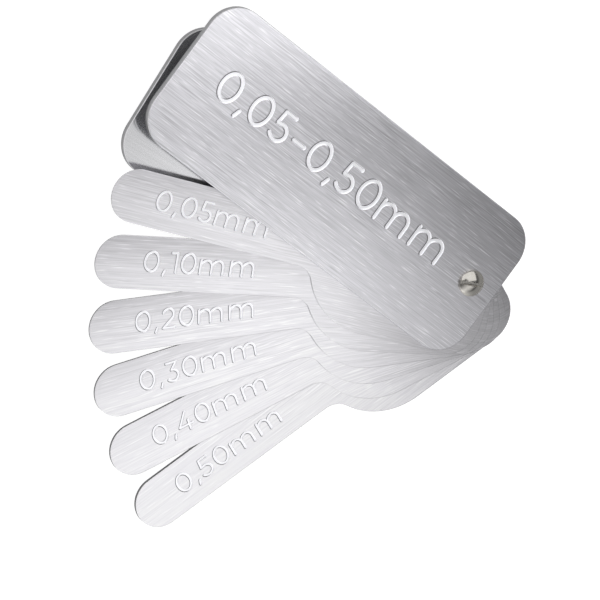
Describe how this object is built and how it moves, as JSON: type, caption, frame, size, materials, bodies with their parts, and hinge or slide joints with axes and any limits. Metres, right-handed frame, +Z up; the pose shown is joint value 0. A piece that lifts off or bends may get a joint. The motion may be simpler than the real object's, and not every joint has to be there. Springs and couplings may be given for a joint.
{
  "type": "feeler gauge",
  "caption": "Pocket leaf feeler gauge: graded flat steel leaves with rounded narrow blades, fanned between two rounded cover plates on one slotted clamp screw.",
  "frame": {"origin": "on the pivot axis, at the plane of the rear cover's outer face (its underside when the gauge lies flat)", "axes": "+Z up the pivot axis towards the front cover and screw head, +X from the pivot along the rear cover, +Y to the side the leaves fan out to"},
  "size_m": [0.0675, 0.0674, 0.0049],
  "materials": {
    "cover_steel": "stainless, brushed lengthwise, polished inner faces",
    "leaf_steel": "spring steel, finely brushed lengthwise",
    "post_steel": "turned",
    "screw_nickel": "nickel plated, bright"
  },
  "bodies": {
    "rear_cover": {"rear_cover": "cover_steel", "pivot_post": "post_steel"},
    "front_cover": {"front_cover": "cover_steel"},
    "leaf_0_05": {"leaf_0_05": "leaf_steel"},
    "leaf_0_10": {"leaf_0_10": "leaf_steel"},
    "leaf_0_20": {"leaf_0_20": "leaf_steel"},
    "leaf_0_30": {"leaf_0_30": "leaf_steel"},
    "leaf_0_40": {"leaf_0_40": "leaf_steel"},
    "leaf_0_50": {"leaf_0_50": "leaf_steel"},
    "pivot_screw": {"pivot_screw": "screw_nickel"}
  },
  "joints": [
    {"name": "front_cover_turn", "type": "hinge", "parent": "rear_cover", "child": "front_cover", "pos_m": [0, 0, 0], "axis": [0, 0, 1], "continuous": true},
    {"name": "leaf_0_05_turn", "type": "hinge", "parent": "rear_cover", "child": "leaf_0_05", "pos_m": [0, 0, 0], "axis": [0, 0, 1], "continuous": true},
    {"name": "leaf_0_10_turn", "type": "hinge", "parent": "rear_cover", "child": "leaf_0_10", "pos_m": [0, 0, 0], "axis": [0, 0, 1], "continuous": true},
    {"name": "leaf_0_20_turn", "type": "hinge", "parent": "rear_cover", "child": "leaf_0_20", "pos_m": [0, 0, 0], "axis": [0, 0, 1], "continuous": true},
    {"name": "leaf_0_30_turn", "type": "hinge", "parent": "rear_cover", "child": "leaf_0_30", "pos_m": [0, 0, 0], "axis": [0, 0, 1], "continuous": true},
    {"name": "leaf_0_40_turn", "type": "hinge", "parent": "rear_cover", "child": "leaf_0_40", "pos_m": [0, 0, 0], "axis": [0, 0, 1], "continuous": true},
    {"name": "leaf_0_50_turn", "type": "hinge", "parent": "rear_cover", "child": "leaf_0_50", "pos_m": [0, 0, 0], "axis": [0, 0, 1], "continuous": true},
    {"name": "pivot_screw_turn", "type": "hinge", "parent": "rear_cover", "child": "pivot_screw", "pos_m": [0, 0, 0], "axis": [0, 0, 1], "range_deg": [-30, 60]}
  ]
}
